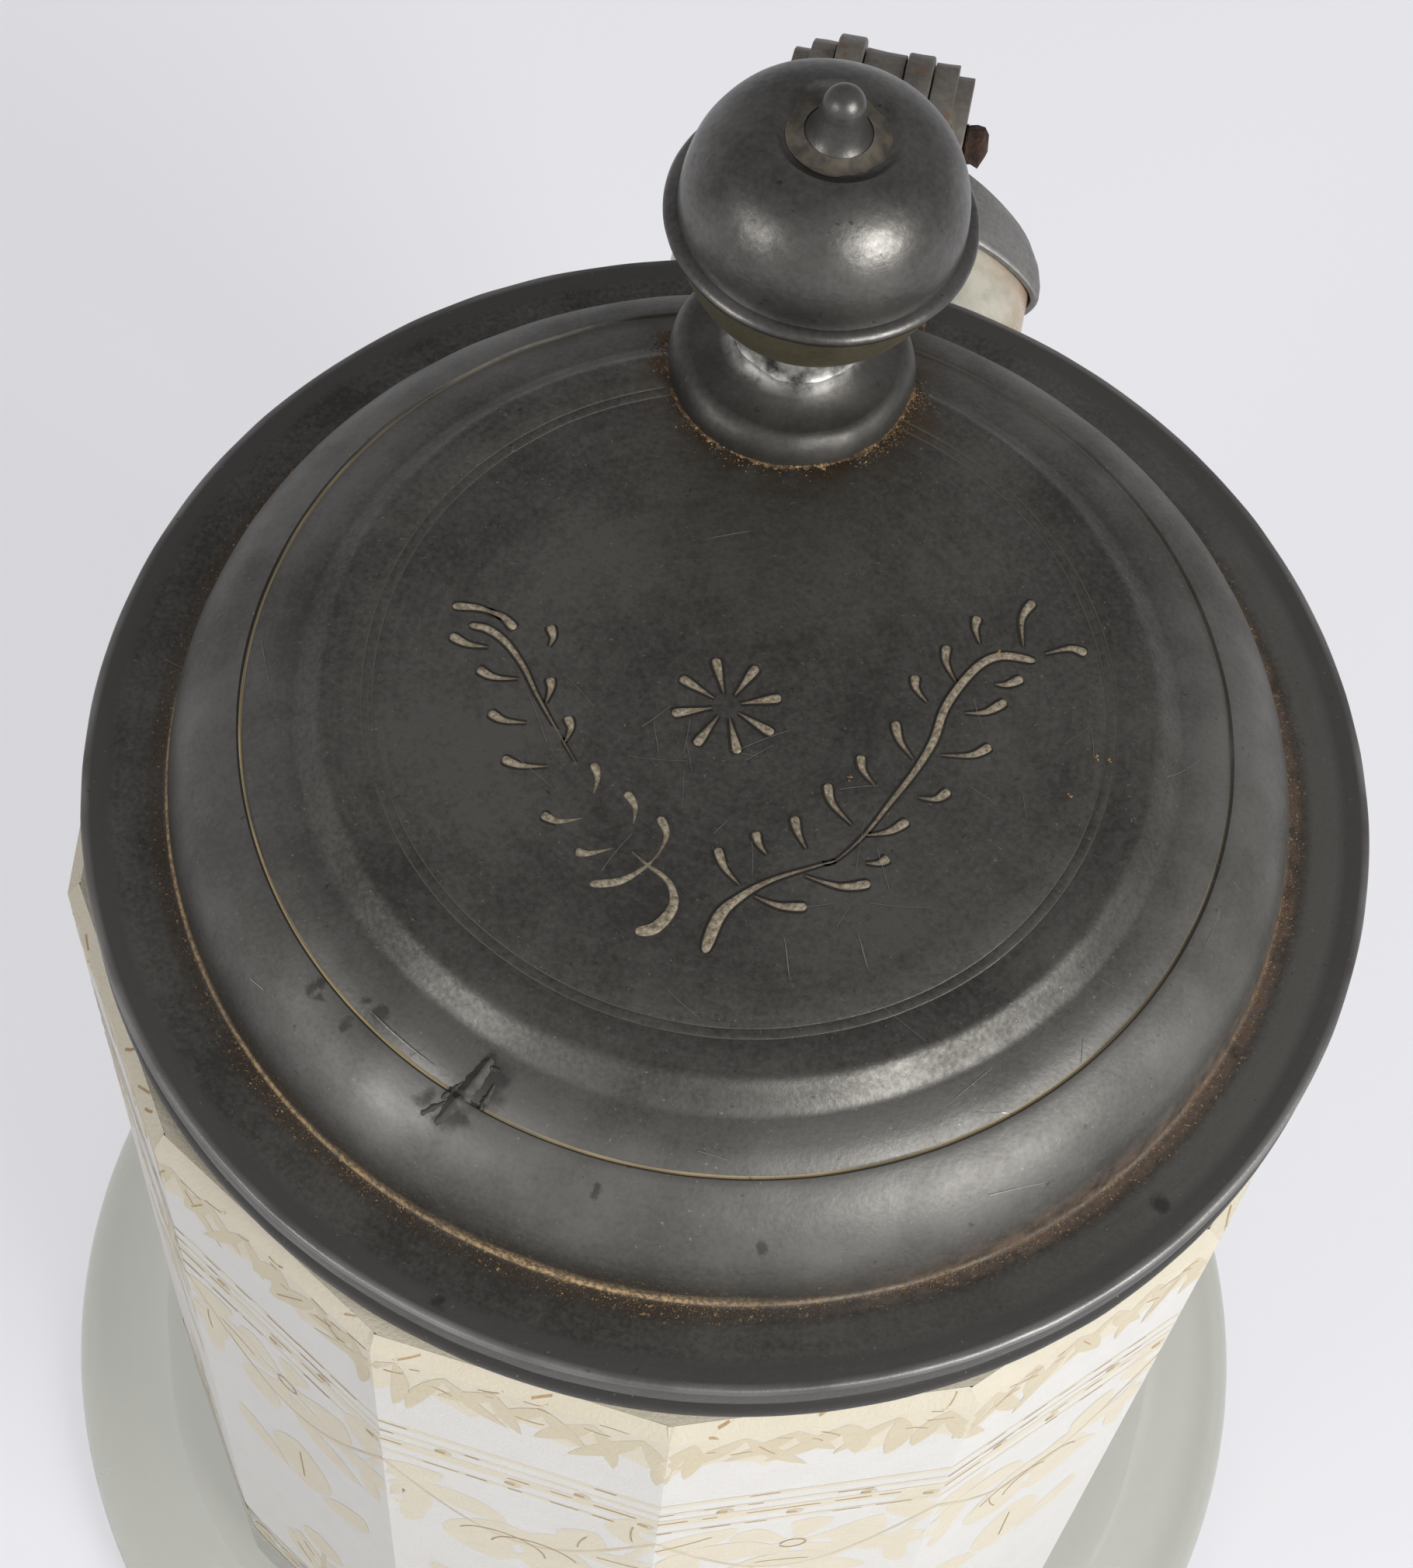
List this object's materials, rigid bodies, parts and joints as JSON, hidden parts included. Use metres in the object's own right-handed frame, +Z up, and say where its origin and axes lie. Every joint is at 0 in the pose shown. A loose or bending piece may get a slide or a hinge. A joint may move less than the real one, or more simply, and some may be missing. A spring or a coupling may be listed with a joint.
{
  "type": "cut glass tankard",
  "caption": "Faceted cut glass tankard on a spreading foot, with a broad glass handle and a stepped pewter lid that swings on a pinned hinge by its ball thumb-piece.",
  "frame": {"origin": "on the vessel's axis, in the flat plane that its foot stands on", "axes": "+Z up along the vessel's axis, +Y towards the handle and the hinge, X along the hinge pin"},
  "size_m": [0.1416, 0.1687, 0.1913],
  "materials": {
    "clear_glass": "polished facets with matt engraving",
    "green_glass": "fire polished",
    "old_pewter": null,
    "worn_pewter": null,
    "rusty_iron": "rusty wire"
  },
  "bodies": {
    "vessel": {"glass_body": "clear_glass", "glass_handle": "green_glass", "handle_collar": "old_pewter", "hinge_stand": "old_pewter", "hinge_pin": "rusty_iron"},
    "lid": {"lid_cover": "old_pewter", "lid_hinge_leaf": "old_pewter", "thumb_foot": "worn_pewter", "thumb_bowl": "worn_pewter", "thumb_cap": "worn_pewter", "thumb_tip": "worn_pewter"}
  },
  "joints": [
    {"name": "lid_hinge", "type": "hinge", "parent": "vessel", "child": "lid", "pos_m": [0, 0.0691, 0.1469], "axis": [-1, 0, 0], "range_deg": [0, 105]}
  ]
}
